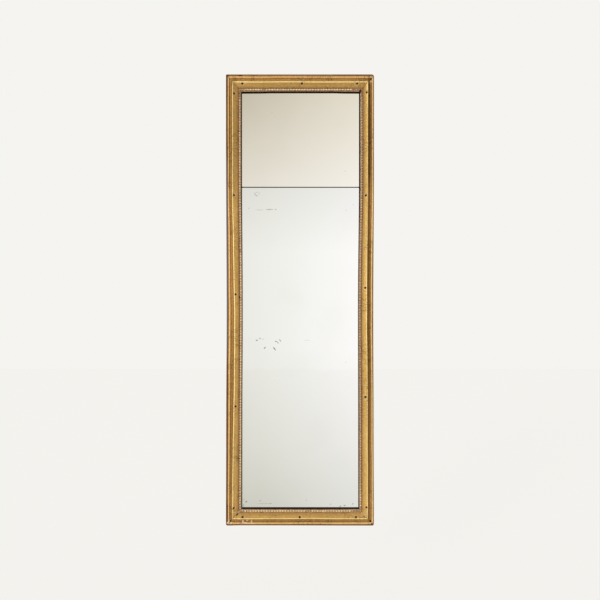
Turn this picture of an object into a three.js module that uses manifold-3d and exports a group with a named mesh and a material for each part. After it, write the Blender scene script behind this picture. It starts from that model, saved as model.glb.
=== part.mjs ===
// Pier mirror: a tall, narrow giltwood frame with two mirror plates, one above the other.
// Millimetres, +Z up. The front faces -Y. The origin is on the wall plane (y = 0), at the middle of the
// flat on the back of the top rail.
import * as THREE from 'three';
import { mergeVertices } from 'three/addons/utils/BufferGeometryUtils.js';
import Module from 'manifold-3d';

const wasm = await Module();
wasm.setup();

// ---- Driving dimensions ----
const frameHeight = 1600;
const frameWidth = 525;

// The four mouldings were planed by hand from one pattern, and came out of different widths. The
// stiles' ridges also wander: this is how much further in they lie at mid-height than at the ends.
const memberWidth = { left: 56, right: 53, top: 61, bottom: 59 };
const ridgeBow = { left: 7.5, right: 3.5, top: 0, bottom: 0 };

// Section of the moulding at the pattern's width. Widths run from the outer edge inwards, depths from
// the wall forwards. A member of another width has all its widths in the same proportion.
const mouldingWidth = 57;
const mouldingDepth = 50;
const sideDepth = 28; // plain outer side
const ledgeWidth = 4.5; // narrow step between the side and the torus
const torusRadius = 5;
const torusLift = 2; // how far the torus springs above the ledge
const quirkWidth = 0.9; // flat between the torus and the cove
const coveWidth = 10.6;
const ridgeRadius = 2.4;
const ridgeStep = 1.5; // drop from the ridge to the slope
const slopeDrop = 8.5;
const hollowWidth = 3;
const hollowDrop = 2;

// Pearls, their seat and the sight edge.
const pearlRadius = 3.4;
const pearlWaistRadius = 1.5; // thread of gesso between two pearls
const pearlPitch = 9.5;
const pearlClearance = 0.2;
const seatWidth = 7.4;
const pearlSeatDepth = 2.8;
const sightLipWidth = 1.5;

// Rebates cut in the back of the moulding.
const glassRebateWidth = 9;
const boardRebateWidth = 19;
const boardRebateDepth = 8;
const sightEdgeDepth = 20; // wood left in front of the glass

// Glass and what is behind it.
const glassThickness = 4;
const glassEdgeClearance = 1;
const upperPlateSight = 338; // height of the upper plate that shows
const plateJointGap = 3;
const boardThickness = 7;
const boardCount = 5;
const boardGap = 1.5;
const boardEdgeClearance = 1;
const slatHeight = 32;
const blockLength = 45;
const blockWidth = 7;
const stileBlockCount = 3;
const railBlockCount = 2;

// Keys let into the back across the mitres.
const keyLength = 30;
const keyWidth = 9;
const keyDepth = 8;
const keySink = 0.5; // how far the key lies below the back

// Iron nails sunk in the face, just inside the ridge. They were driven by hand, so each has an inset of
// its own and is a little off an even spacing. Counted downwards and to the right.
const nailHeadRadius = 2.9;
const nailHeadThickness = 1.6;
const nailShankRadius = 1.3;
const nailLength = 26;
const nailSink = 1.5; // from the top of the slope down to the head
const cornerNailInset = 62;
const nailInset = {
  left: [30.3, 29.8, 35.4, 35, 28.6],
  right: [27.5, 30.5, 32.6, 31.8, 28.4],
  top: [36.4, 36.4, 36.4],
  bottom: [34.4, 34.4, 34.4],
};
const nailDrift = {
  left: [10, -1, -20, 6, -4],
  right: [6, 0, -43, -27, -7],
  top: [-3, 7, 1],
  bottom: [-2, -1, -3],
};

// Hangers screwed to the back of the stiles.
const hangerDrop = 190; // from the frame's top edge down to the ring's axis
const strapWidth = 15;
const eyeWidth = 9; // the strap narrows to this where it curls round the ring
const shoulderDrop = 9; // from the ring's axis down to where the strap widens
const strapLength = 78;
const strapThickness = 1.8;
const eyeSweep = 200; // degrees that the eye curls on past the strap's face
const ringWireRadius = 1.75;
const ringRadius = 14; // to the middle of the wire
const eyeClearance = 1;
const screwSpacing = 24;
const screwMargin = 9; // from the strap's lower end to the lower screw
const screwHeadRadius = 3.2;
const screwHeadThickness = 1.6;
const screwShankRadius = 1.5;
const screwLength = 16;

const fitGap = 0.3; // between pieces that are pressed or glued together
const overcut = 2; // how far a cutter runs out past the face that it opens
const curveSteps = 6; // facets along each curve of the section
const bowSteps = 8; // stretches that a wandering stile is made of
const shankSides = 8;
const pearlSides = 5;
const wireSides = 8;
const ringSides = 24;

// ---- Values worked out from the driving dimensions ----
const backFlat = mouldingWidth - boardRebateWidth;
const across = (side, inset) => (inset * memberWidth[side]) / mouldingWidth; // an inset on that member
const topEdge = across('top', backFlat) / 2;
const bottomEdge = topEdge - frameHeight;
const middleHeight = (topEdge + bottomEdge) / 2;
const jointHeight = topEdge - memberWidth.top - upperPlateSight;
const torusEnd = ledgeWidth + 2 * torusRadius;
const coveStart = torusEnd + quirkWidth;
const ridgeMiddle = coveStart + coveWidth + ridgeRadius;
const slopeStart = ridgeMiddle + ridgeRadius;
const ridgeBase = mouldingDepth - ridgeRadius;
const slopeTop = ridgeBase - ridgeStep;
const slopeFoot = slopeTop - slopeDrop;
const seatTop = slopeFoot - hollowDrop;
const seatFloor = seatTop - pearlSeatDepth;
const seatEnd = mouldingWidth - sightLipWidth;
const seatStart = seatEnd - seatWidth;
const slopeEnd = seatStart - hollowWidth;
const pearlInset = (seatStart + seatEnd) / 2;
const pearlCentre = seatFloor + pearlClearance + pearlRadius;
const glassRebate = mouldingWidth - glassRebateWidth;
const glassFront = seatTop - sightEdgeDepth;
const glassFace = glassFront - fitGap;
const glassBack = glassFace - glassThickness;
const boardFace = boardRebateDepth - fitGap;
const eyeBore = ringWireRadius + eyeClearance;
const eyeOuter = eyeBore + strapThickness;
const hangerHeight = topEdge - hangerDrop;
const lowerScrew = strapLength - screwMargin;
const screwDrops = [lowerScrew - screwSpacing, lowerScrew];

// Where a rectangle lies whose edges are this far past an inset on each of the four members.
function rectangleInside(inset, clearance) {
  return {
    left: -frameWidth / 2 + across('left', inset) + clearance,
    right: frameWidth / 2 - across('right', inset) - clearance,
    top: topEdge - across('top', inset) - clearance,
    bottom: bottomEdge + across('bottom', inset) + clearance,
  };
}

// ---- Materials ----
const finish = (color, roughness, metalness) =>
  new THREE.MeshStandardMaterial({ color, roughness, metalness });
const gilding = finish(0xb8925a, 0.45, 0.6);
const wornGilding = finish(0xb39a78, 0.55, 0.4);
const mirrorGlass = finish(0xe4e4df, 0.04, 1);
const pine = finish(0x9a7a52, 0.85, 0);
const hardwood = finish(0x6b4a2c, 0.8, 0);
const iron = finish(0x2e2722, 0.6, 0.8);

// ---- Small tools for solids ----

// A closed mesh as a manifold solid: positions only, shared vertices, no collapsed triangles.
function toManifold(geometry) {
  const bare = geometry.clone();
  bare.deleteAttribute('normal');
  bare.deleteAttribute('uv');
  const merged = mergeVertices(bare);
  const triangles = [];
  for (let i = 0; i < merged.index.count; i += 3) {
    const [a, b, c] = merged.index.array.slice(i, i + 3);
    if (a !== b && b !== c && c !== a) triangles.push(a, b, c);
  }
  const vertProperties = new Float32Array(merged.attributes.position.array);
  const triVerts = new Uint32Array(triangles);
  return new wasm.Manifold(new wasm.Mesh({ numProp: 3, vertProperties, triVerts }));
}

function cut(geometry, cutters) {
  let body = toManifold(geometry);
  for (const cutter of cutters) body = body.subtract(toManifold(cutter));
  const { vertProperties, triVerts } = body.getMesh();
  const result = new THREE.BufferGeometry();
  result.setAttribute('position', new THREE.BufferAttribute(vertProperties, 3));
  result.setIndex(new THREE.BufferAttribute(triVerts, 1));
  result.computeVertexNormals();
  return result;
}

function piece(name, geometry, material) {
  const mesh = new THREE.Mesh(geometry, material);
  mesh.name = name;
  return mesh;
}

// A solid of revolution about +Y from [radius, height] pairs, lowest first.
function turned(profile, sides) {
  return new THREE.LatheGeometry(profile.map(([r, y]) => new THREE.Vector2(r, y)), sides);
}

// Box between two corners.
function block(low, high) {
  const size = high.map((value, i) => value - low[i]);
  return new THREE.BoxGeometry(...size).translate(...low.map((value, i) => value + size[i] / 2));
}

// ---- Moulding: x is the inset from the outer edge, y the depth from the wall ----
function mouldingSection() {
  const section = new THREE.Shape();
  section.moveTo(0, 0);
  section.lineTo(backFlat, 0);
  section.lineTo(backFlat, boardRebateDepth);
  section.lineTo(glassRebate, boardRebateDepth);
  section.lineTo(glassRebate, glassFront);
  section.lineTo(mouldingWidth, glassFront);
  section.lineTo(mouldingWidth, seatTop);
  section.lineTo(seatEnd, seatTop);
  section.lineTo(seatEnd, seatFloor);
  section.lineTo(seatStart, seatFloor);
  section.lineTo(seatStart, seatTop);
  // hollow, then the long convex slope up to the ridge
  section.quadraticCurveTo(slopeEnd, seatTop, slopeEnd, slopeFoot);
  section.quadraticCurveTo((slopeStart + slopeEnd) / 2, slopeTop, slopeStart, slopeTop);
  section.lineTo(slopeStart, ridgeBase);
  section.absarc(ridgeMiddle, ridgeBase, ridgeRadius, 0, Math.PI, false);
  section.absellipse(coveStart, ridgeBase, coveWidth, ridgeBase - sideDepth, 0, -Math.PI / 2, true);
  section.lineTo(torusEnd, sideDepth);
  section.lineTo(torusEnd, sideDepth + torusLift);
  section.absarc(ledgeWidth + torusRadius, sideDepth + torusLift, torusRadius, 0, Math.PI, false);
  section.lineTo(ledgeWidth, sideDepth);
  section.lineTo(0, sideDepth);
  return section;
}

// The section carried along z, centred. Each mitre runs from the outer corner to the sight corner, so
// its slope depends on how wide the neighbour is. The wander moves the front between the outer edge and
// the pearls' seat, most at its middle: outwards at the ends and inwards at mid-length.
function mitredMoulding({ side, length, neighbours }) {
  const steps = ridgeBow[side] ? bowSteps : 1;
  const options = { depth: 1, steps, bevelEnabled: false, curveSegments: curveSteps };
  const geometry = new THREE.ExtrudeGeometry(mouldingSection(), options);
  const position = geometry.attributes.position;
  for (let i = 0; i < position.count; i++) {
    const along = 2 * position.getZ(i) - 1;
    const inset = position.getX(i);
    const depth = position.getY(i);
    const onFront = depth >= sideDepth && inset < seatStart;
    const share = onFront ? Math.sin((Math.PI * inset) / seatStart) : 0;
    const moved = across(side, inset) + ridgeBow[side] * (0.5 - along ** 2) * share;
    const neighbour = neighbours[along > 0 ? 1 : 0];
    const reach = length / 2 - (moved * memberWidth[neighbour]) / memberWidth[side] - fitGap / 2;
    position.setXYZ(i, moved, depth, along * reach);
  }
  return geometry;
}

// ---- Nails: y = 0 is the top of the head, and the shank runs down to a point ----
function nail() {
  return turned([
    [0, -nailLength],
    [nailShankRadius, -nailLength + 2 * nailShankRadius],
    [nailShankRadius, -nailHeadThickness],
    [nailHeadRadius, -nailHeadThickness],
    [nailHeadRadius, 0],
    [0, 0],
  ], shankSides);
}

// The nail with its clearance, and a mouth that runs out through the face.
function nailHole() {
  const shoulder = -nailHeadThickness - fitGap;
  return turned([
    [0, -nailLength - fitGap],
    [nailShankRadius + fitGap, -nailLength - fitGap],
    [nailShankRadius + fitGap, shoulder],
    [nailHeadRadius + fitGap, shoulder],
    [nailHeadRadius + fitGap, ridgeRadius + ridgeStep + nailSink + overcut],
    [0, ridgeRadius + ridgeStep + nailSink + overcut],
  ], shankSides);
}

// Even spacing between the two corner nails, each moved by its own drift.
function nailPlaces(length, drift) {
  const run = length - 2 * cornerNailInset;
  return drift.map((shift, i) => -run / 2 + (run * i) / (drift.length - 1) + shift);
}

// ---- Pearls: one string turned about its own axis, with a whole pearl at each end ----
// The stiles' strings hold the corner pearls, and the rails' strings stop a pearl short of them.
function pearlString({ length, neighbours, isStile }) {
  const first = -length / 2 + across(neighbours[0], pearlInset);
  const last = length / 2 - across(neighbours[1], pearlInset);
  const steps = Math.round((last - first) / pearlPitch);
  const pitch = (last - first) / steps;
  const skipped = isStile ? 0 : 1;
  const centres = Array.from({ length: steps + 1 - 2 * skipped }, (_, i) => first + pitch * (i + skipped));
  const beads = centres.flatMap((centre) => [[pearlRadius, centre], [pearlWaistRadius, centre + pitch / 2]]);
  const profile = [[0, centres[0] - pearlRadius], ...beads.slice(0, -1), [0, centres.at(-1) + pearlRadius]];
  return turned(profile, pearlSides).rotateX(Math.PI / 2);
}

// ---- Key across the mitre at one end of a member, in that member's own frame ----
function mitreKey({ side, length, neighbours }, end, gap, mouth) {
  const low = [-keyLength / 2 - gap, keySink - mouth, -keyWidth / 2 - gap];
  const high = [keyLength / 2 + gap, keySink + keyDepth + gap, keyWidth / 2 + gap];
  const sign = end ? 1 : -1;
  const flat = across(side, backFlat);
  const along = sign * (length - across(neighbours[end], backFlat));
  return block(low, high).rotateY((-sign * Math.PI) / 4).translate(flat / 2, 0, along / 2);
}

// A clearance hole for a hanger's screw, from a little below y = 0 up to this height.
function screwHole(height) {
  const radius = screwShankRadius + fitGap;
  return turned([[0, -overcut], [radius, -overcut], [radius, height], [0, height]], shankSides);
}

// ---- One member of the frame, in its own frame: x is the inset, y the depth, z runs along it ----
// sense is 1 where z runs down or to the right, the way that the nails are counted. neighbours are the
// members that it meets at its low end and at its high end.
function member(spec) {
  const { side, name, length, sense, isStile } = spec;
  const nails = nailPlaces(length, nailDrift[side]).map((place) => sense * place);
  const headTop = slopeTop - nailSink;
  const holes = nails.map((z, i) => nailHole().translate(nailInset[side][i], headTop, z));
  const keySlots = [0, 1].map((end) => mitreKey(spec, end, fitGap, overcut));
  const screwHeights = isStile ? screwDrops.map((drop) => hangerHeight - drop) : [];
  const screwHoles = screwHeights.map((height) =>
    screwHole(screwLength).translate(across(side, backFlat) / 2, 0, sense * (middleHeight - height)));
  const group = new THREE.Group();
  group.add(piece(name, cut(mitredMoulding(spec), [...holes, ...keySlots, ...screwHoles]), gilding));
  nails.forEach((z, i) => {
    const one = piece(`${name}_nail_${i + 1}`, nail(), iron);
    one.position.set(nailInset[side][i], headTop, z);
    group.add(one);
  });
  const pearls = piece(`${side}_pearl_strip`, pearlString(spec), wornGilding);
  pearls.position.set(across(side, pearlInset), pearlCentre, 0);
  group.add(pearls);
  if (isStile) {
    for (const end of [0, 1]) {
      group.add(piece(`${spec.neighbours[end]}_${side}_mitre_key`, mitreKey(spec, end, 0, 0), hardwood));
    }
  }
  return group;
}

// Turns a member to its place: where its inset and its length point, and the middle of its outer edge.
function place(group, insetDirection, alongDirection, outerEdge) {
  const forwards = new THREE.Vector3(0, -1, 0);
  const basis = new THREE.Matrix4().makeBasis(
    new THREE.Vector3(...insetDirection), forwards, new THREE.Vector3(...alongDirection),
  );
  group.applyMatrix4(basis.setPosition(...outerEdge));
  return group;
}

function frameMembers() {
  const stile = { length: frameHeight, isStile: true };
  const rail = { length: frameWidth, isStile: false };
  const members = {
    left: member({ ...stile, side: 'left', name: 'left_stile', sense: 1, neighbours: ['top', 'bottom'] }),
    right: member({ ...stile, side: 'right', name: 'right_stile', sense: -1, neighbours: ['bottom', 'top'] }),
    top: member({ ...rail, side: 'top', name: 'top_rail', sense: -1, neighbours: ['right', 'left'] }),
    bottom: member({ ...rail, side: 'bottom', name: 'bottom_rail', sense: 1, neighbours: ['left', 'right'] }),
  };
  return [
    place(members.left, [1, 0, 0], [0, 0, -1], [-frameWidth / 2, 0, middleHeight]),
    place(members.right, [-1, 0, 0], [0, 0, 1], [frameWidth / 2, 0, middleHeight]),
    place(members.top, [0, 0, -1], [-1, 0, 0], [0, 0, topEdge]),
    place(members.bottom, [0, 0, 1], [1, 0, 0], [0, 0, bottomEdge]),
  ];
}

// ---- Mirror plates, and the slat behind their joint ----
function plates() {
  const edge = rectangleInside(glassRebate, glassEdgeClearance);
  const plate = (name, low, high) =>
    piece(name, block([edge.left, -glassFace, low], [edge.right, -glassBack, high]), mirrorGlass);
  const slat = block(
    [edge.left + blockWidth, -glassBack + fitGap, jointHeight - slatHeight / 2],
    [edge.right - blockWidth, -boardFace - fitGap, jointHeight + slatHeight / 2],
  );
  return [
    plate('upper_mirror_plate', jointHeight + plateJointGap / 2, edge.top),
    plate('lower_mirror_plate', edge.bottom, jointHeight - plateJointGap / 2),
    piece('plate_joint_slat', slat, pine),
  ];
}

// ---- Glazing blocks glued in the rebate behind the glass ----
function glazingBlocks() {
  const edge = rectangleInside(glassRebate, fitGap);
  const depths = [-glassBack + fitGap, -boardFace - fitGap];
  const blocks = [];
  const add = (name, [x0, x1], [z0, z1]) => {
    blocks.push(piece(name, block([x0, depths[0], z0], [x1, depths[1], z1]), pine));
  };
  for (let i = 0; i < stileBlockCount; i++) {
    const middle = topEdge - (frameHeight * (i + 0.5)) / stileBlockCount;
    const run = [middle - blockLength / 2, middle + blockLength / 2];
    add(`left_glazing_block_${i + 1}`, [edge.left, edge.left + blockWidth], run);
    add(`right_glazing_block_${i + 1}`, [edge.right - blockWidth, edge.right], run);
  }
  for (let i = 0; i < railBlockCount; i++) {
    const middle = frameWidth * ((i + 0.5) / railBlockCount - 0.5);
    const run = [middle - blockLength / 2, middle + blockLength / 2];
    add(`top_glazing_block_${i + 1}`, run, [edge.top - blockWidth, edge.top]);
    add(`bottom_glazing_block_${i + 1}`, run, [edge.bottom, edge.bottom + blockWidth]);
  }
  return blocks;
}

// ---- Backboards, laid across from the top down ----
function backboards() {
  const edge = rectangleInside(backFlat, boardEdgeClearance);
  const boardHeight = (edge.top - edge.bottom - boardGap * (boardCount - 1)) / boardCount;
  return Array.from({ length: boardCount }, (_, i) => {
    const top = edge.top - i * (boardHeight + boardGap);
    const low = [edge.left, -boardFace, top - boardHeight];
    return piece(`backboard_${i + 1}`, block(low, [edge.right, -boardFace + boardThickness, top]), pine);
  });
}

// ---- Hanger: its own origin is on the back of the stile, level with the ring's axis ----

// Side view of the strap, x up and y backwards: a flat strap that curls into an eye at its upper end.
function strapProfile() {
  const sweep = THREE.MathUtils.degToRad(eyeSweep);
  const profile = new THREE.Shape();
  profile.moveTo(-strapLength, 0);
  profile.lineTo(0, 0);
  profile.absarc(0, eyeOuter, eyeOuter, -Math.PI / 2, sweep, false);
  profile.absarc(0, eyeOuter, eyeBore, sweep, -Math.PI / 2, true);
  profile.lineTo(-strapLength, strapThickness);
  return profile;
}

function strap() {
  const options = { depth: strapWidth, bevelEnabled: false, curveSegments: 2 * curveSteps };
  const bar = new THREE.ExtrudeGeometry(strapProfile(), options).translate(0, 0, -strapWidth / 2);
  const aboveShoulder = -shoulderDrop;
  const past = eyeOuter + overcut;
  const cheeks = [-1, 1].map((sign) => {
    const edges = [(sign * eyeWidth) / 2, sign * (strapWidth / 2 + overcut)];
    return block([aboveShoulder, -overcut, Math.min(...edges)], [past, 2 * past, Math.max(...edges)]);
  });
  const holes = screwDrops.map((drop) => screwHole(strapThickness + overcut).translate(-drop, 0, 0));
  const upright = new THREE.Matrix4().makeBasis(
    new THREE.Vector3(0, 0, 1), new THREE.Vector3(0, 1, 0), new THREE.Vector3(-1, 0, 0),
  );
  return cut(bar, [...cheeks, ...holes]).applyMatrix4(upright);
}

function ring() {
  const wire = Array.from({ length: wireSides + 1 }, (_, i) => {
    const angle = (2 * Math.PI * (i % wireSides)) / wireSides;
    return [ringRadius + ringWireRadius * Math.cos(angle), ringWireRadius * Math.sin(angle)];
  });
  return turned(wire, ringSides);
}

// The screw's head is proud of y = 0 and its shank runs forwards, into the wood.
function screw() {
  return turned([
    [0, -screwLength + fitGap],
    [screwShankRadius, -screwLength + 3 * screwShankRadius],
    [screwShankRadius, 0],
    [screwHeadRadius, 0],
    [screwHeadRadius, screwHeadThickness / 2],
    [0, screwHeadThickness],
  ], shankSides);
}

function hanger(side, sign) {
  const group = new THREE.Group();
  const offset = frameWidth / 2 - across(side, backFlat) / 2;
  group.position.set(sign * offset, fitGap, hangerHeight);
  const hangingRing = piece(`${side}_hanger_ring`, ring(), iron);
  hangingRing.position.set(0, eyeOuter, -ringRadius);
  group.add(piece(`${side}_hanger_strap`, strap(), iron), hangingRing);
  screwDrops.forEach((drop, i) => {
    const one = piece(`${side}_hanger_screw_${i + 1}`, screw(), iron);
    one.position.set(0, strapThickness + fitGap, -drop);
    group.add(one);
  });
  return group;
}

// ---- The whole mirror ----
const pierMirror = new THREE.Group();
pierMirror.add(...frameMembers(), ...plates(), ...glazingBlocks(), ...backboards());
pierMirror.add(hanger('left', -1), hanger('right', 1));
export default pierMirror;
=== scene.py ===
"""Pier mirror: a tall giltwood frame with pearl beading round two old mirror plates, one above the other.

Metres, +Z up. The glass faces -Y and the back of the frame lies on the plane y = 0. The section of the
moulding follows its maker's pattern, and every place comes from the frame's own pieces.
"""

import math

import bpy
import numpy as np
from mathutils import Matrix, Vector


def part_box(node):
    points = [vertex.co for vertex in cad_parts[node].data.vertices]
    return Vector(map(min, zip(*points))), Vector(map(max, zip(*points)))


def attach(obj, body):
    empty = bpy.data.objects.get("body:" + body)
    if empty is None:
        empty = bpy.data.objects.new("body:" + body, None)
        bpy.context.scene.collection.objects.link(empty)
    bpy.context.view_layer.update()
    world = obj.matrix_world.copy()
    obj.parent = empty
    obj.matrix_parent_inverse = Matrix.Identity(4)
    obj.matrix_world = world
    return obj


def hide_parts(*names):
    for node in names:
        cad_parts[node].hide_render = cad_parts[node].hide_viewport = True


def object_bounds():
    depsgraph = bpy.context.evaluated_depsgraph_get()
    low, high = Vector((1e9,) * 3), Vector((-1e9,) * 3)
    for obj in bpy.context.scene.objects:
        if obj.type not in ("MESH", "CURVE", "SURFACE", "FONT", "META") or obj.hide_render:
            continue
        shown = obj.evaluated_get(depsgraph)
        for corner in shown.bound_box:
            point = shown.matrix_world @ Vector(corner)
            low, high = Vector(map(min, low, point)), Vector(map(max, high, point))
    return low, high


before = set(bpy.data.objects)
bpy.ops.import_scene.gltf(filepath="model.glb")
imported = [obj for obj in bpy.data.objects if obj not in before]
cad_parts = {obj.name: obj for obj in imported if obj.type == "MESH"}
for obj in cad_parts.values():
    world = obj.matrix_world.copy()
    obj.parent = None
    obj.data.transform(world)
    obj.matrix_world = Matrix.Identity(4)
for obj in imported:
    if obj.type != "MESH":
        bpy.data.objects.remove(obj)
cad_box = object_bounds()

# ---- Stage: floor, light and camera -----------------------------------------------------------
# The mirror hangs over a plain pale floor, in soft studio light from the upper left. The camera
# stands square to the glass, level with its middle.
mm = 0.001
camera_distance = 3.540
camera_lens = 59.442  # on a 36 mm sensor
floor_drop = 420 * mm  # from the foot of the frame down to the floor
floor_reach = 14.0
fill_level = 0.60  # of the light that falls on a surface from all round
key_strength = 1.60
key_width = math.radians(14)
key_from = (-0.36, -0.90, 0.20)
floor_glow = 1.06  # brings the floor that the eye sees up to the backdrop
floor_glow_share = 0.82  # the rest is matte paint, which takes the shadow


def chart(red, green, blue):
    """A colour given as on a paint chart, 0 to 255, as linear light with full cover."""
    level = np.array([red, green, blue]) / 255
    return (*np.where(level <= 0.04045, level / 12.92, ((level + 0.055) / 1.055) ** 2.4).tolist(), 1.0)


class Wire:
    """A value on its way through a finish. A sum or product with another wire or a plain number adds a
    Math node. node() adds any other node: first its settings, then what its sockets hold."""

    def __init__(self, tree, socket=None):
        self.tree = tree
        self.socket = socket

    def node(self, kind, settings=None, sockets=None, out=0):
        made = self.tree.nodes.new(kind)
        for name, value in (settings or {}).items():
            if name == "stops":
                ramp = made.color_ramp.elements
                ramp.remove(ramp[1])
                ramp[0].position, ramp[0].color = value[0]
                for position, colour in value[1:]:
                    ramp.new(position).color = colour
            else:
                setattr(made, name, value)
        for key, value in (sockets or {}).items():
            if isinstance(value, Wire):
                self.tree.links.new(value.socket, made.inputs[key])
            else:
                made.inputs[key].default_value = value
        return Wire(self.tree, made.outputs[out] if made.outputs else None)

    def maths(self, operation, first, second):
        return self.node("ShaderNodeMath", {"operation": operation}, {0: first, 1: second})

    def __add__(self, other):
        return self.maths("ADD", self, other)

    def __sub__(self, other):
        return self.maths("SUBTRACT", self, other)

    def __rsub__(self, other):
        return self.maths("SUBTRACT", other, self)

    def __mul__(self, other):
        return self.maths("MULTIPLY", self, other)

    __radd__ = __add__
    __rmul__ = __mul__

    def step(self, low, high):
        """0 up to low and 1 past high, with an S-curve between; falling where low is above high."""
        return self.node("ShaderNodeMapRange", {"interpolation_type": "SMOOTHSTEP"},
                         {"Value": self, "From Min": low, "From Max": high})

    def mix(self, first, second, share, how="MIX"):
        """The first colour turning into the second as share goes from 0 to 1."""
        return self.node("ShaderNodeMix", {"data_type": "RGBA", "blend_type": how},
                         {0: share, 6: first, 7: second}, out=2)

    def stretched(self, x, y, z):
        return self.node("ShaderNodeMapping", {}, {"Vector": self, "Scale": (x, y, z)})

    def noise(self, scale, detail=4.0, rough=0.55):
        return self.node("ShaderNodeTexNoise", {},
                         {"Vector": self, "Scale": scale, "Detail": detail, "Roughness": rough}, out="Fac")

    def place(self):
        return self.node("ShaderNodeTexCoord", out="Object")

    def noted(self, name, out="Fac"):
        """What note() has stored on the points of the piece."""
        return self.node("ShaderNodeAttribute", {"attribute_name": name}, out=out)

    def length(self):
        return self.node("ShaderNodeVectorMath", {"operation": "LENGTH"}, {0: self}, out="Value")

    def path(self, kind):
        return self.node("ShaderNodeLightPath", out=f"Is {kind} Ray")


def put(name, data):
    """A new object of the scene that holds a mesh, a light or a camera."""
    made = bpy.data.objects.new(name, data)
    bpy.context.collection.objects.link(made)
    return made


def new_finish(name):
    """An empty material, and a wire to build it with."""
    made = bpy.data.materials.new(name)
    made.use_nodes = True
    made.node_tree.nodes.clear()
    return made, Wire(made.node_tree)


def seen_by_eye(wire):
    """1 for the camera's rays and those that metal and glass send back to it."""
    return wire.path("Camera") + wire.path("Glossy") + wire.path("Transmission")


backdrop = chart(245, 244, 240)
mirrored_backdrop = chart(254, 253, 251)

world = bpy.data.worlds.new("studio")
bpy.context.scene.world = world
world.use_nodes = True
world.node_tree.nodes.clear()
sky = Wire(world.node_tree)
pale = sky.mix(backdrop, mirrored_backdrop, sky.path("Glossy"))
behind = sky.node("ShaderNodeBackground", {}, {"Color": pale, "Strength": 1.0})
around = sky.node("ShaderNodeBackground", {}, {"Color": (1.0, 0.99, 0.97, 1.0), "Strength": fill_level})
lit = sky.node("ShaderNodeMixShader", {}, {0: seen_by_eye(sky), 1: around, 2: behind})
sky.node("ShaderNodeOutputWorld", {}, {"Surface": lit})

floor_level = cad_box[0].z - floor_drop
corners = [(x * floor_reach, y * floor_reach, floor_level) for x, y in ((-1, -1), (1, -1), (1, 1), (-1, 1))]
floor_mesh = bpy.data.meshes.new("floor")
floor_mesh.from_pydata(corners, [], [(0, 1, 2, 3)])
floor = put("floor", floor_mesh)
floor_finish, ground = new_finish("pale_floor")
floor_matte = ground.node("ShaderNodeBsdfDiffuse", {}, {"Color": chart(236, 235, 231)})
glow_colour = ground.mix(backdrop, mirrored_backdrop, ground.path("Glossy"))
floor_light = ground.node("ShaderNodeEmission", {}, {"Color": glow_colour, "Strength": floor_glow})
floor_seen = ground.node("ShaderNodeMixShader", {}, {0: floor_glow_share, 1: floor_matte, 2: floor_light})
floor_look = ground.node("ShaderNodeMixShader", {}, {0: seen_by_eye(ground), 1: floor_matte, 2: floor_seen})
ground.node("ShaderNodeOutputMaterial", {}, {"Surface": floor_look})
floor_mesh.materials.append(floor_finish)

key_data = bpy.data.lights.new("window_light", "SUN")
key_data.energy = key_strength
key_data.angle = key_width
key_data.color = (1.0, 0.985, 0.96)
key = put("window_light", key_data)
key.rotation_euler = Vector(key_from).to_track_quat("Z", "Y").to_euler()

camera_data = bpy.data.cameras.new("camera")
camera_data.lens = camera_lens
camera_data.clip_end = 60.0
camera = put("camera", camera_data)
camera.location = (0.0, -camera_distance, (cad_box[0].z + cad_box[1].z) / 2)
camera.rotation_euler = (math.pi / 2, 0.0, 0.0)
bpy.context.scene.camera = camera
bpy.context.scene.view_settings.view_transform = "Standard"

# ---- Mouldings --------------------------------------------------------------------------------
# Four lengths of limewood, planed by hand to one pattern and mitred. Gesso, red bole and gold leaf lie
# on the front; the leaf is rubbed on the ridges, which also carry a painted highlight, dirty in the
# hollows, which also carry painted shade, and chipped at the corners.
pattern_width = 57 * mm
front_depth = 50 * mm
side_depth = 28 * mm
ledge = 4.5 * mm
torus = 5 * mm
torus_lift = 2 * mm
quirk = 0.9 * mm
cove = 10.6 * mm
ridge = 2.4 * mm
ridge_step = 1.5 * mm
slope_drop = 8.5 * mm
hollow = 3 * mm
hollow_drop = 2 * mm
seat = 7.4 * mm
seat_drop = 2.8 * mm
lip = 1.5 * mm
sight_edge = 20 * mm
glass_rebate = 9 * mm
board_rebate = 19 * mm
board_depth = 8 * mm
point_spacing = 1.1 * mm
mitre_gap = 0.3 * mm

torus_end = ledge + 2 * torus
cove_start = torus_end + quirk
ridge_middle = cove_start + cove + ridge
slope_start = ridge_middle + ridge
ridge_base = front_depth - ridge
slope_top = ridge_base - ridge_step
slope_foot = slope_top - slope_drop
seat_top = slope_foot - hollow_drop
seat_floor = seat_top - seat_drop
seat_end = pattern_width - lip
seat_start = seat_end - seat
slope_end = seat_start - hollow
glass_front = seat_top - sight_edge
back_flat = pattern_width - board_rebate
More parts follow.
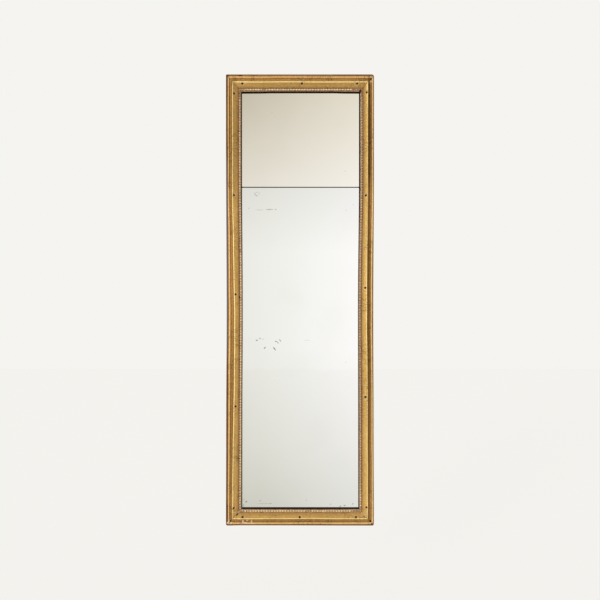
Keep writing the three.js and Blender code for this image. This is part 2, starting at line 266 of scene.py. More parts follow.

# What differs from member to member. inset: the way in from its outer edge. edge_wear: how much leaf is
# gone from its outermost part. wall light: how much light is painted on its sight edge. pearl darkening:
# how brown its pearls are. strays: how far, in mm, five of its lines lie inwards of the pattern, as hand
# work wanders.
# A list of pairs holds what changes along it, at shares from -1 at its first end to 1 at its second, and a
# plain number what doesn't.
members = {
    "left": {
        "node": "left_stile", "inset": (1, 0, 0), "edge_wear": 0.85, "painted_wall_light": 0.6,
        "pearl_darkening": [(-1, 0.7), (-0.5, 0.45), (1, 0.3)],
        "strays": {
            "edge": [(-1, 0), (-0.7, 0), (0.05, 2.4), (0.6, 0.7), (1, 0)],
            "torus": [(-1, 0.3), (-0.7, 0.3), (0.05, 4.4), (0.5, 2.7), (1, 0.8)],
            "ridge": [(-1, -3.2), (-0.58, -3.2), (0.18, 4.9), (0.9, -2.6), (1, -3.0)],
            "pearls": [(-1, -1.5), (-0.6, -1.4), (0.05, 2.3), (0.55, 0.5), (1, -0.4)],
            "sight": [(-1, -2.9), (-0.6, -2.8), (0.05, 1.2), (0.55, -1.0), (1, -1.5)],
        },
    },
    "right": {
        "node": "right_stile", "inset": (-1, 0, 0), "edge_wear": 0.0, "painted_wall_light": 0.1,
        "pearl_darkening": [(-1, 0.7), (0.8, 0.75), (0.93, 0.15), (1, 0.1)],
        "strays": {
            "edge": [(-1, 0), (-0.6, 0.2), (0.05, 2.7), (0.55, 1.5), (1, 0.4)],
            "torus": [(-1, -4.2), (-0.6, -4.2), (0.05, 0.8), (0.5, -2.0), (1, -3.6)],
            "ridge": [(-1, -2.3), (-0.6, -1.9), (0.05, 1.4), (0.45, -1.2), (1, -1.2)],
            "pearls": [(-1, -4.5), (-0.6, -4.5), (0.05, 1.9), (0.6, 0.2), (1, 0.0)],
            "sight": [(-1, -4.1), (-0.6, -4.1), (0.05, 1.6), (0.6, 0.2), (1, 0.0)],
        },
    },
    "top": {
        "node": "top_rail", "inset": (0, 0, -1), "edge_wear": 0.3, "painted_wall_light": 0.0, "pearl_darkening": 0.3,
        "strays": {
            "edge": 0, "torus": 1.4, "ridge": 1.0, "pearls": 0.5,
            "sight": [(-1, 1.4), (-0.75, 1.1), (-0.45, 0.1), (0.55, 0.1), (0.8, 1.1), (1, 1.4)],
        },
    },
    "bottom": {
        "node": "bottom_rail", "inset": (0, 0, 1), "edge_wear": 0.5, "painted_wall_light": 0.0, "pearl_darkening": 0,
        "strays": {
            "edge": [(-1, 0), (-0.8, 0.8), (1, 0)], "torus": 0, "ridge": 0, "pearls": 0.3, "sight": 0.2,
        },
    },
}


def corners_of(node):
    """The lowest and the highest corner of a node, as arrays."""
    return [np.array(corner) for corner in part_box(node)]


def nodes_with(text):
    """The nodes that have a text in their names, in the frame's order."""
    return [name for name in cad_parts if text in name]


for side, part in members.items():
    low, high = corners_of(part["node"])
    part["upright"] = side in ("left", "right")
    part["inset"] = np.array(part["inset"], float)
    part["along"] = np.array([0, 0, -1] if part["upright"] else [1, 0, 0], float)
    part["ends"] = ("top", "bottom") if part["upright"] else ("left", "right")
    part["width"] = abs(part["inset"] @ (high - low))
    part["length"] = abs(part["along"] @ (high - low))
    part["origin"] = (low + high) / 2 * (1, 0, 1) - part["inset"] * part["width"] / 2
    part["left_handed"] = np.cross(part["inset"], (0, -1, 0)) @ part["along"] < 0

# Radius to which each outer corner is worn, and the marks on the gilding, as seen from the front: x, z,
# half-length and half-width in mm, the turn from level in degrees, and the strength if it isn't 1. Gesso,
# bole and grime lie bare in chips, a grey band lies along the outer edge, and the stretches of painted
# shade are darker all over.
corner_wear = {"top_left": 2.5 * mm, "top_right": 8 * mm, "bottom_left": 6 * mm, "bottom_right": 6.5 * mm}
scars = {
    "Gesso": [
        (-215, -1528, 11, 2.0, 38), (-202.6, -1565, 3.2, 5.5, 0), (-193.9, -1568.6, 6, 2.8, 0),
        (-187.5, -1561.6, 2.5, 2.5, 0), (-171.6, -1565.4, 2.6, 6, 0), (-254, -1566.5, 7.5, 2.4, 40),
        (-245.6, -1569.3, 3.5, 2, 0), (223, -1535.2, 22, 1.7, -40, 0.55), (252, -6, 3, 2.2, 30),
    ],
    "Bole": [
        (-212.6, 15.3, 10.5, 2.4, 0), (-214.8, -56.6, 3, 3, 0), (-214.8, -48.5, 3, 3, 0),
        (-247, -1563.7, 8, 2.3, 55), (251, 3.9, 4, 3.2, 0), (-257.3, 13.9, 4.5, 4.5, 0),
        (-259.5, -1530, 40, 4.5, 90), (-260.5, -40, 46, 3.5, 90), (180, 19, 70, 2.6, 0),
    ],
    "Grime": [
        (-221.8, -1536.7, 5.5, 2.5, 35), (249, -1562.7, 3.5, 3.5, 0), (254.4, -1571.6, 3.2, 3.2, 0),
        (214.7, -40.3, 6, 5, 45), (245.6, -55.4, 3.2, 3.2, 0), (-214, -344, 4.5, 2.5, 90),
        (-214, -769, 4.5, 2.5, 90), (-214, -1341.6, 4.5, 2.5, 90), (-212.6, 15.6, 8, 1.6, 0),
    ],
    "Dust": [(-261, -640, 380, 8, 90)],
    # long bands of painted shade along the members
    "Toned": [
        (-253, -180, 250, 6, 90, 0.35), (-240, -1150, 330, 5, 90, 0.3), (-232, -180, 230, 12, 90, 0.35),
        (-212, -780, 800, 6, 90, 0.15), (212, -780, 800, 7, 90, 0.3), (223, -200, 230, 14, 90, 0.2),
        (242.5, -780, 810, 7.5, 90, 0.5), (245, -190, 230, 7, 90, 0.85), (257, -180, 240, 6, 90, 0.3),
        (0, 9.5, 250, 5, 0, 0.2), (0, -17.5, 250, 3, 0, 0.35), (0, -23, 250, 14, 0, 0.15),
        (0, -42.2, 250, 2.2, 0, 0.6), (0, -1518.5, 250, 3.5, 0, 0.7), (0, -1544, 250, 12, 0, 0.3),
        (0, -1564, 250, 4, 0, 0.2),
    ],
}
scar_depth = {"Gesso": 0.6 * mm, "Bole": 0.25 * mm, "Grime": 0.4 * mm, "Dust": 0.0, "Toned": 0.0}


def straight(*corners):
    """Points evenly spaced along the straight lines between corners, without the last corner."""
    runs = []
    for start, end in zip(np.array(corners), np.array(corners[1:])):
        count = max(1, round(np.linalg.norm(end - start) / point_spacing))
        runs.append(start + (end - start) * np.arange(count)[:, None] / count)
    return np.vstack(runs)


def arc(centre, radii, first, last):
    """Points of an ellipse, centre + radii * (cos a, sin a), as a goes from first to just before last."""
    count = max(5, round(max(radii) * abs(last - first) / point_spacing))
    angle = first + (last - first) * np.arange(count) / count
    return np.array(centre) + np.array(radii) * np.column_stack([np.cos(angle), np.sin(angle)])


def bend(start, corner, end):
    """Points of the curve (1 - t)^2 start + 2 t (1 - t) corner + t^2 end, without its end."""
    start, corner, end = np.array(start), np.array(corner), np.array(end)
    count = max(4, round(np.linalg.norm(end - start) / point_spacing))
    t = np.arange(count)[:, None] / count
    return (1 - t) ** 2 * start + 2 * t * (1 - t) * corner + t**2 * end


def smooth(value):
    """0 below 0 and 1 above 1, with the curve 3 v^2 - 2 v^3 between."""
    value = np.clip(value, 0, 1)
    return value * value * (3 - 2 * value)


# The section, from the back of the outer side over the front to the back again: how far in from the
# outer edge, and how far forward of the back.
section_runs = {
    "side": straight((0, 0), (0, side_depth)),
    "ledge": straight((0, side_depth), (ledge, side_depth), (ledge, side_depth + torus_lift)),
    "torus": arc((ledge + torus, side_depth + torus_lift), (torus, torus), math.pi, 0),
    "quirk": straight((torus_end, side_depth + torus_lift), (torus_end, side_depth),
                      (cove_start, side_depth)),
    "cove": arc((cove_start, ridge_base), (cove, ridge_base - side_depth), -math.pi / 2, 0),
    "ridge": arc((ridge_middle, ridge_base), (ridge, ridge), math.pi, 0),
    "step": straight((slope_start, ridge_base), (slope_start, slope_top)),
    "slope": bend((slope_start, slope_top), ((slope_start + slope_end) / 2, slope_top),
                  (slope_end, slope_foot)),
    "hollow": bend((slope_end, slope_foot), (slope_end, seat_top), (seat_start, seat_top)),
    "seat": straight((seat_start, seat_top), (seat_start, seat_floor), (seat_end, seat_floor),
                     (seat_end, seat_top)),
    "lip": straight((seat_end, seat_top), (pattern_width, seat_top)),
    "sight_edge": straight((pattern_width, seat_top), (pattern_width, glass_front)),
    "rebates": straight((pattern_width, glass_front), (pattern_width - glass_rebate, glass_front),
                        (pattern_width - glass_rebate, board_depth), (back_flat, board_depth),
                        (back_flat, 0)),
    "back": straight((back_flat, 0), (0, 0)),
}
section = np.vstack(list(section_runs.values()))
run_starts = dict(zip(section_runs, np.cumsum([0] + [len(run) for run in section_runs.values()])))
soft = slice(run_starts["ledge"] - 1, run_starts["sight_edge"] + 2)
for _ in range(2):  # gesso rounds every corner of the front: each point moves halfway to its neighbours
    near = (section[soft.start - 1:soft.stop - 1] + section[soft.start + 1:soft.stop + 1]) / 2
    section[soft] = (section[soft] + near) / 2
inset, depth = section.T
girth = np.concatenate([[0], np.cumsum(np.linalg.norm(np.diff(section, axis=0), axis=1))])
is_gilded = np.arange(len(section)) < run_starts["rebates"]
is_front = np.arange(len(section)) <= run_starts["rebates"]
is_shown = is_gilded & (np.arange(len(section)) >= run_starts["ledge"])
pearl_line = (seat_start + seat_end) / 2
lines = [0, ledge + torus, ridge_middle, pearl_line, pattern_width]  # insets of the five that stray


def between(share, knots):
    """The value at a share between knots (share, value), with an S-curve from each to the next. A plain
    number in their stead is the value everywhere."""
    if not isinstance(knots, list):
        return knots + 0 * share
    places, values = np.array(knots, float).T
    k = np.clip(np.searchsorted(places, share, side="right") - 1, 0, len(places) - 2)
    return values[k] + (values[k + 1] - values[k]) * smooth((share - places[k]) / (places[k + 1] - places[k]))


def across(side, share, at=inset, on_front=is_front):
    """Where the pattern's insets lie at shares along a member: in proportion to its width, plus the stray
    of the line on either side in proportion to its nearness. Behind the front only the edge strays."""
    part = members[side]
    strays = [between(share, knots) * mm for knots in part["strays"].values()]
    front = sum(stray * np.interp(at, lines, nearness) for stray, nearness in zip(strays, np.eye(len(lines))))
    behind = strays[0] * (1 - smooth(at / ridge_middle))
    return at * part["width"] / pattern_width + np.where(on_front, front, behind)


def reaches(side, at=inset, on_front=is_front):
    """How far each line runs from the member's middle to its two ends, where it meets the same line of the
    neighbour: half the member's length less that line's inset in the neighbour."""
    corner = -1.0 if side in ("left", "top") else 1.0  # the neighbour's end that this member meets
    return [members[side]["length"] / 2 - across(neighbour, corner, at, on_front)
            for neighbour in members[side]["ends"]]


def hand_waves(run, draw):
    """Slow unevenness of hand work: the mean of three sine waves of 90 to 450 mm with seeded phases."""
    waves = draw.uniform(0.09, 0.45, 3)
    phases = draw.uniform(0, 2 * np.pi, 3)
    return np.sin(2 * np.pi * run[..., None] / waves + phases).mean(-1)


def patch(points, x, z, half_length, half_width, turn, strength=1.0):
    """The strength inside an ellipse seen from the front and 0 outside, with a soft edge."""
    right, up = points[..., 0] - x * mm, points[..., 2] - z * mm
    c, s = math.cos(math.radians(turn)), math.sin(math.radians(turn))
    radius = np.hypot((right * c + up * s) / half_length, (up * c - right * s) / half_width) / mm
    return strength * (1 - smooth((radius - 0.7) / 0.6))


def grid_faces(rows, columns, flip=False, ring=False):
    """Four-sided faces between the points [row, column] of a surface that closes across its columns, and
    along its rows if it is a ring. They point outwards where the columns run clockwise, seen from the
    last row; flip turns them round."""
    row, column = np.meshgrid(np.arange(rows if ring else rows - 1), np.arange(columns), indexing="ij")
    next_row, next_column = (row + 1) % rows, (column + 1) % columns
    faces = np.stack([row * columns + column, next_row * columns + column,
                      next_row * columns + next_column, row * columns + next_column], -1).reshape(-1, 4)
    return faces[:, ::-1] if flip else faces


def skinned(name, points, flip=False, ring=False):
    """An object whose skin joins the points [row, column] of one or more like bodies [body, row, column],
    with a flat face over both ends of each unless it is a ring."""
    bodies = points if points.ndim == 4 else points[None]
    rows, columns = bodies.shape[1:3]
    one = grid_faces(rows, columns, flip, ring).tolist()
    if not ring:
        first, last = list(range(columns)), list(range((rows - 1) * columns, rows * columns))
        one += [first[::-1], last] if flip else [first, last[::-1]]
    faces = [[corner + k * rows * columns for corner in face] for k in range(len(bodies)) for face in one]
    mesh = bpy.data.meshes.new(name)
    mesh.from_pydata(bodies.reshape(-1, 3).tolist(), [], faces)
    mesh.shade_smooth()
    return put(name, mesh)


def note(piece, name, values, shape):
    """Stores a number for each point of a piece, or a vector where the shape ends in 3."""
    kind, field = ("FLOAT_VECTOR", "vector") if shape[-1] == 3 else ("FLOAT", "value")
    filled = np.broadcast_to(values, shape).astype(np.float32)
    piece.data.attributes.new(name, kind, "POINT").data.foreach_set(field, filled.ravel())


def fitted(piece, finishes, nodes, body="frame"):
    """Gives a piece its finishes and its place among the moving bodies, in the stead of its nodes."""
    for finish in finishes:
        piece.data.materials.append(finish)
    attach(piece, body)
    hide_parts(*nodes)
    return piece


stile_spacing = 4.6 * mm  # from one station to the next
rail_spacing = 2.8 * mm
wave_inwards = 0.5 * mm  # how far the plane wandered
wave_deep = 0.35 * mm
bed_depth = 2.0 * mm  # from a nail's head down to the bottom of its dimple
dimple_floor = 2.9 * mm  # radius
dimple_slope = 0.9 * mm
dimple_rim = 3.9 * mm
halo_radius = 5.6 * mm  # where the leaf is rubbed bright round a nail
halo_width = 1.5 * mm
# round each nail the dark staining is deepened by painted shade in its dimple
stain_and_shade_start = 3.2 * mm  # where the dark stain round a nail begins to fade
stain_and_shade_fade = 1.2 * mm


def moulding(side, draw):
    """One member: the section at every station along it, put down as origin + inset + depth + along."""
    part = members[side]
    half = part["length"] / 2
    nail_boxes = [corners_of(name) for name in nodes_with(part["node"] + "_nail_")]
    nail_places = [(low + high) / 2 for low, high in nail_boxes]

    # stations, closer together at the ends and round each nail
    at_end = 1 - np.linspace(0, 12, 13) * mm / half
    round_nails = [(part["along"] @ (place - part["origin"]) + np.linspace(-5, 5, 21) * mm)
                   / (half - part["inset"] @ (place - part["origin"])) for place in nail_places]
    spacing = stile_spacing if part["upright"] else rail_spacing
    even = np.linspace(-1, 1, round(part["length"] / spacing))
    stations = np.unique(np.concatenate([even, at_end, -at_end, *round_nails]).round(5))
    share = stations[:, None]

    insets = across(side, share)
    reach = reaches(side)
    along = share * (np.where(share < 0, reach[0], reach[1]) - mitre_gap / 2)

    # unevenness of the planing, on the front alone and fading out at the mitres
    calm = (1 - share**8) * (depth > side_depth) * (inset < seat_start)
    insets = insets + wave_inwards * hand_waves(along, draw) * calm
    depths = depth - wave_deep * (0.5 + 0.5 * hand_waves(along, draw)) * calm

    # worn outer corners: the square corner pressed into a quarter circle
    for k, neighbour in enumerate(part["ends"]):
        sign = 2 * k - 1
        worn = corner_wear[f"{neighbour}_{side}" if part["upright"] else f"{side}_{neighbour}"]
        a, b = 1 - insets / worn, 1 - (half - sign * along) / worn
        pull = np.where((a > 0) & (b > 0), np.maximum(a, b) / np.hypot(a, b), 1)
        insets, along = (np.where(pull < 1, worn * (1 - a * pull), insets),
                         np.where(pull < 1, sign * (half - worn * (1 - b * pull)), along))

    # a dimple, dark staining with painted shade over it, and a bright halo round each nail, and the scars
    points = part["origin"] + insets[..., None] * part["inset"] + along[..., None] * part["along"]
    is_face = is_gilded & (inset > 0) & (inset < seat_start)
    marks = {"Worn": part["edge_wear"], "Ring": 0.0, "Hole": 0.0, "Lit": part["painted_wall_light"]}
    for place, (low, _) in zip(nail_places, nail_boxes):
        radius = np.hypot(points[..., 0] - place[0], points[..., 2] - place[2])
        bed = -low[1] - bed_depth
        sunk = bed + (depths - bed) * smooth((radius - dimple_floor) / dimple_slope)
        depths = np.where(is_face & (radius < dimple_rim), np.minimum(depths, sunk), depths)
        halo = np.exp(-((radius - halo_radius) / halo_width) ** 2)
        stain_and_shade = 1 - smooth((radius - stain_and_shade_start) / stain_and_shade_fade)
        marks["Ring"] = np.maximum(marks["Ring"], halo * is_face)
        marks["Hole"] = np.maximum(marks["Hole"], stain_and_shade * is_face)
    for kind, places in scars.items():
        marks[kind] = np.max([patch(points, *place) for place in places], axis=0) * is_shown
        depths = depths - scar_depth[kind] * marks[kind] * is_face
    points[..., 1] = -depths

    piece = skinned(f"{side}_moulding", points, flip=part["left_handed"])
    bare = np.ones(len(piece.data.polygons), bool)  # the two end faces come last
    bare[:-2] = np.tile(~is_gilded, len(stations) - 1)
    piece.data.polygons.foreach_set("material_index", bare.astype(np.int32))
    piece.data.polygons.foreach_set("use_smooth", ~bare)
    note(piece, "Girth", girth / girth[-1], along.shape)
    run = np.stack([along, np.broadcast_to(girth, along.shape), np.zeros_like(along)], -1)
    note(piece, "Run", run, run.shape)
    for kind, values in marks.items():
        note(piece, kind, values, along.shape)
    return piece


def surface(wire, sockets, height, height_scale):
    """The shader itself: plain numbers stay on its sockets, and height, times its scale, is its relief."""
    sockets["Normal"] = wire.node("ShaderNodeBump", {}, {"Strength": 1.0, "Distance": height_scale,
                                                         "Height": height})
    shader = wire.node("ShaderNodeBsdfPrincipled", {}, sockets)
    wire.node("ShaderNodeOutputMaterial", {}, {"Surface": shader})


def gilding():
    """Old water gilding, its tones set by where on the section it lies, with painted highlights and painted
    shade among them.
    """
    made, wire = new_finish("old_water_gilding")
    band = wire.noted("Girth")
    run = wire.noted("Run", "Vector")
    place = wire.place()

    def at(name, share=0.0):
        """Where a share of the way along a run of the section lies on the girth, from 0 to 1."""
        index = run_starts[name] + share * len(section_runs[name])
        return float(np.interp(index, np.arange(len(girth)), girth / girth[-1]))

    tones = {
        "side": [(0, (134, 92, 52)), (0.8, (152, 110, 64))],
        "ledge": [(0, (140, 98, 58)), (0.7, (150, 108, 66))],
        # the torus is lighter on its top than on its flanks: a painted highlight
        "torus": [(0.15, (188, 146, 90)), (0.5, (220, 182, 120)), (0.85, (202, 162, 100))],
        # the quirk is darker: painted shade in the groove
        "quirk": [(0.7, (172, 130, 74))],
        # the cove grows darker towards the ridge: painted shade
        "cove": [(0.25, (198, 157, 95)), (0.75, (184, 142, 74))],
        # the ridge is the palest: rubbed leaf with a painted highlight
        "ridge": [(0.05, (223, 183, 110)), (0.5, (255, 231, 162)), (0.95, (243, 208, 137))],
        # the slope is darker just below the ridge's step: painted shade
        "slope": [(0.05, (204, 166, 100)), (0.14, (185, 146, 79)), (0.3, (200, 159, 89)),
                  (0.8, (202, 162, 96))],
        "hollow": [(0.2, (192, 152, 98)), (0.8, (186, 144, 98))],
        "seat": [(0.3, (186, 146, 104)), (0.8, (204, 168, 128))],
        "lip": [(0.4, (255, 236, 206))],
        # the sight edge is dark paint, darkened further by painted shade
        "sight_edge": [(0.04, (214, 186, 148)), (0.14, (112, 86, 60)), (0.24, (88, 70, 50)),
                       (1, (72, 56, 40))],
    }
    stops = [(at(name, share), chart(*tone)) for name, pairs in tones.items() for share, tone in pairs]
    colour = wire.node("ShaderNodeValToRGB", {"stops": stops}, {"Fac": band}, out="Color")

    clouds = place.noise(38, 5)
    mottle = place.noise(210, 4, 0.6)
    streaks = run.stretched(7, 520, 1).noise(1, 3, 0.6)
    olive = run.stretched(60, 190, 1).noise(1, 3, 0.6)
    wall = band.step(at("lip", 0.5), at("sight_edge", 0.16))
    in_front = band.step(at("side", 0.9), at("ledge"))
    bright = mottle.step(0.50, 0.70) * (1 - wall) * in_front
    for tone, share, how in (
            ((0.80, 0.86, 0.52, 1), olive.step(0.52, 0.66) * 0.8, "MULTIPLY"),
            ((1.0, 0.72, 0.42, 1), olive.step(0.46, 0.34) * 0.6, "MULTIPLY"),
            ((0.42, 0.30, 0.16, 1), clouds.step(0.56, 0.78) * 0.45, "MULTIPLY"),
            ((1.0, 0.86, 0.60, 1), bright * 0.20, "SCREEN"),
            ((0.40, 0.27, 0.15, 1), streaks.step(0.50, 0.72) * 0.34, "MULTIPLY")):
        colour = wire.mix(colour, tone, share, how)

    # leaf rubbed through to the red bole in spots, most near both edges, and dirt specks
    spots = place.noise(330, 3, 0.65)
    edge = band.step(at("torus", 0.3), at("ledge", 0.2)) + band.step(at("hollow", 0.1), at("hollow", 0.7))
    rubbed = (spots + edge * 0.10).step(0.63, 0.70) * (1 - wall)
    colour = wire.mix(colour, chart(118, 66, 40), rubbed * 0.65)
    specks = place.noise(640, 2, 0.5).step(0.70, 0.76)
    colour = wire.mix(colour, chart(74, 50, 30), specks * 0.6)

    # the worn outermost part, light painted on the sight edge, and the halo and the dark staining with
    # painted shade round each nail
    outer = band.step(at("torus", 0.44), at("torus", 0.16)) * band.step(at("side", 0.93), at("ledge"))
    outermost = outer * wire.noted("Worn")
    colour = wire.mix(colour, chart(96, 58, 32), outermost * (0.66 + spots * 0.5))
    colour = wire.mix(colour, chart(172, 144, 112), wall * wire.noted("Lit"))
    colour = wire.mix(colour, chart(232, 196, 144), wire.noted("Ring") * 0.35)
    colour = wire.mix(colour, chart(58, 28, 12), wire.noted("Hole") * 0.95)

    # fine cracks across the member
    crazed = wire.node("ShaderNodeTexVoronoi", {"feature": "DISTANCE_TO_EDGE"},
                       {"Vector": run.stretched(95, 34, 1), "Scale": 1.0}, out="Distance")
    crack_lines = crazed.step(0.045, 0.01) * place.noise(14, 2).step(0.50, 0.60)
    colour = wire.mix(colour, chart(84, 56, 34), crack_lines * 0.55)

    # the scars, each with a ragged outline
    damage = {kind: wire.noted(kind) for kind in scars}
    ragged = {kind: (mask + (mottle - 0.5) * 0.9).step(0.35, 0.62) * mask.step(0.02, 0.2)
              for kind, mask in damage.items() if kind != "Toned"}
    # painted shade over the listed stretches
    colour = wire.mix(colour, (0.30, 0.25, 0.17, 1), damage["Toned"], "MULTIPLY")
    colour = wire.mix(colour, chart(120, 108, 108), ragged["Dust"] * 0.75)
    colour = wire.mix(colour, chart(96, 48, 26), ragged["Bole"] * 0.85)
    colour = wire.mix(colour, chart(228, 200, 176), ragged["Gesso"])
    colour = wire.mix(colour, chart(52, 30, 16), ragged["Grime"] * 0.9)

    # leaf alone is metal
    bare = ragged["Bole"] + ragged["Gesso"] + ragged["Grime"] + rubbed * 0.6 + outermost * 0.6
    leaf = (1 - bare.step(0.0, 1.0)) * (1 - wall) * band.step(at("side", 0.9), at("ledge", 0.5))
    metal = leaf * (0.20 + mottle * 0.28)
    height = mottle * 0.30 + streaks * 0.25 + clouds * 0.5 - crack_lines * 0.35 - rubbed * 0.12
    surface(wire, {"Base Color": colour, "Metallic": metal, "Roughness": 0.66 - leaf * 0.20,
                   "Specular IOR Level": 0.0},
            height, 0.6 * mm)
    return made


def bare_wood(name, pale, dark, grain, relief=0.35 * mm, knots=()):
    """Old planed wood. grain is how often the figure changes in each metre along x, y and z, and knots are
    places that it flows round: x, z, radius in mm. Shift and Tone tell one board from the next."""
    made, wire = new_finish(name)
    place = wire.place()
    shift = wire.noted("Shift", "Vector")
    board = wire.node("ShaderNodeVectorMath", {"operation": "ADD"}, {0: place, 1: shift})
    heart = 0.0
    for x, z, radius in knots:
        local = wire.node("ShaderNodeMapping", {"vector_type": "TEXTURE"}, {
            "Vector": place, "Location": (x * mm, 0.0, z * mm),
            "Scale": (2.2 * radius * mm, 1.0, radius * mm)})
        heart = local.length().step(2.6, 0.0) + heart
    bowed = wire.node("ShaderNodeCombineXYZ", {}, {"Z": heart * 0.045}) if knots else (0.0, 0.0, 0.0)
    flowing = wire.node("ShaderNodeVectorMath", {"operation": "ADD"}, {0: board, 1: bowed})
    figure = flowing.stretched(*grain).noise(1.0, 6, 0.6)
    rings = flowing.stretched(*[3.2 * share for share in grain]).noise(1.0, 4, 0.55)
    fibres = board.stretched(*[9 * share for share in grain]).noise(1.0, 3, 0.7)
    stains = board.noise(7, 5, 0.65)
    saw = place.noise(420, 2, 0.5)
    deep, deepest = (tuple(share * level for level in dark[:3]) + (1,) for share in (0.62, 0.45))
    colour = wire.mix(pale, dark, figure.step(0.36, 0.66))
    colour = wire.mix(colour, deep, rings.step(0.50, 0.64) * 0.55)
    colour = wire.mix(colour, deepest, fibres.step(0.50, 0.72) * 0.65)
    colour = wire.mix(colour, (0.55, 0.50, 0.44, 1), stains.step(0.50, 0.70) * 0.55, "MULTIPLY")
    colour = wire.mix(colour, (0.62, 0.60, 0.58, 1), wire.noted("Tone"), "MULTIPLY")
    if knots:
        colour = wire.mix(colour, chart(58, 36, 22), heart.step(0.70, 0.92) * 0.9)
    surface(wire, {"Base Color": colour, "Roughness": 0.74 + fibres * 0.2, "Specular IOR Level": 0.3},
            figure * 0.4 + fibres * 0.8 + rings * 0.4 + saw * 0.3, relief)
    return made


leaf_finish = gilding()
upright_limewood, level_limewood = [
    bare_wood("limewood_" + way, chart(186, 154, 112), chart(142, 108, 70), grain)
    for way, grain in (("upright", (55, 55, 2.5)), ("level", (2.5, 55, 55)))]
draw = np.random.default_rng(11)
for side, part in members.items():
    back_finish = upright_limewood if part["upright"] else level_limewood
    fitted(moulding(side, draw), [leaf_finish, back_finish], [part["node"]])

# ---- Pearls -----------------------------------------------------------------------------------
# Some four hundred pearls carved in strings and laid in the seat along the sight edge. Their gilding is
# rubbed down to pale gesso, and at two corners they are broken or worn away.
pearl_radius = 3.4 * mm
pearl_thread = 1.5 * mm  # radius of the thread between two pearls
pearl_pitch = 9.5 * mm
pearl_clearance = 0.2 * mm
pearl_depth = seat_floor + pearl_clearance + pearl_radius
pearl_sides = 10
pearl_offsets = np.array([-4.6, -3.1, -2.4, -0.95, 0.95, 2.4, 3.1]) * mm  # from a pearl's middle
pearl_wear_fade = 6 * mm
pearl_shrinkage = 0.38  # of a fully worn pearl
pearl_sinking = 1.2 * mm
pearl_unevenness = 0.3 * mm
# x, z and radius in mm of the places where pearls are worn, and how much
worn_pearls = [(-212, -42, 16, 0.8), (212, -38, 22, 0.9), (-211, -1524, 14, 0.5), (212, -1520, 26, 0.6),
               (-120, -35, 7, 0.6), (30, -1526, 8, 0.5), (-211.6, -610, 7, 0.6), (214, -1010, 9, 0.6)]


def pearl_string(side, draw):
    """A string of pearls turned about its own axis. Its radius is that of a ball, root(R^2 - s^2) at a
    distance s from a pearl's middle, and never less than the thread's."""
    part = members[side]
    half = part["length"] / 2
    first, last = reaches(side, pearl_line, True)
    steps = round((first + last) / pearl_pitch)
    skipped = 0 if part["upright"] else 1  # the stiles' strings have the pearls at the corners
    middles = np.linspace(-first, last, steps + 1)[skipped:steps + 1 - skipped]
    middle_insets = across(side, middles / half, pearl_line, True)
    centres = part["origin"] + middle_insets[:, None] * part["inset"] + middles[:, None] * part["along"]
    past = [np.hypot(centres[:, 0] - x * mm, centres[:, 2] - z * mm) - reach * mm
            for x, z, reach, _ in worn_pearls]
    levels = np.array([level for *_, level in worn_pearls])[:, None]
    worn = np.max(levels * (1 - smooth(np.array(past) / pearl_wear_fade)), axis=0)
    worn = worn * draw.uniform(0.4, 1.0, len(middles))
    size = pearl_radius * draw.uniform(0.92, 1.0, len(middles)) * (1 - pearl_shrinkage * worn)
    pressed = pearl_sinking * worn + draw.uniform(0, pearl_unevenness, len(middles))

    # seven points to a pearl, without the thread before the first one
    along = (middles[:, None] + pearl_offsets).ravel()[1:]
    ball = np.sqrt(np.maximum(size[:, None] ** 2 - pearl_offsets**2, 0))
    radius = np.maximum(ball, pearl_thread * (1 - 0.4 * worn[:, None])).ravel()[1:]
    lowered = np.repeat(pressed, len(pearl_offsets))[1:]
    angle = -2 * np.pi * np.arange(pearl_sides) / pearl_sides
    row_insets = across(side, along / half, pearl_line, True)
    insets = row_insets[:, None] + radius[:, None] * np.cos(angle)
    depths = (pearl_depth - lowered)[:, None] + radius[:, None] * np.sin(angle)
    depths = np.maximum(depths, seat_floor + pearl_clearance)
    points = (part["origin"] + insets[..., None] * part["inset"] + depths[..., None] * np.array([0, -1, 0])
              + along[:, None, None] * part["along"])
    piece = skinned(f"{side}_pearls", points, flip=part["left_handed"])
    tint = np.repeat(draw.uniform(0, 1, len(middles)), len(pearl_offsets))[1:]
    note(piece, "Tint", tint[:, None], insets.shape)
    # how much darker this member's pearls are, changing along it
    darkening = between(middles / half, part["pearl_darkening"])
    lost = np.repeat(np.maximum(worn, darkening), len(pearl_offsets))[1:]
    note(piece, "Lost", lost[:, None], insets.shape)
    note(piece, "Height", (depths - seat_floor) / (2 * pearl_radius), insets.shape)
    return piece


def pearl_gilding():
    """Pale gesso with thin gold, with painted shade dark down between the pearls."""
    made, wire = new_finish("rubbed_pearl_gilding")
    tint = wire.noted("Tint")
    lost = wire.noted("Lost")
    height = wire.noted("Height")
    place = wire.place()
    flecks = place.noise(420, 4, 0.6)
    colour = wire.mix(chart(248, 216, 168), chart(255, 232, 198), tint)
    colour = wire.mix(colour, chart(188, 146, 92), (flecks + tint * 0.2).step(0.52, 0.74) * 0.7)
    # darker towards the seat between the pearls: painted shade
    colour = wire.mix(chart(128, 90, 60), colour, height.step(0.36, 0.82))
    darkening = lost.step(0.05, 1.0) * (0.40 + flecks.step(0.36, 0.6) * 0.45)
    colour = wire.mix(colour, chart(126, 86, 58), darkening)
    surface(wire, {"Base Color": colour, "Metallic": 0.12, "Roughness": 0.42 + flecks * 0.25},
            flecks, 0.25 * mm)
    return made


pearl_finish = pearl_gilding()
for side in members:
    fitted(pearl_string(side, draw), [pearl_finish], [f"{side}_pearl_strip"])

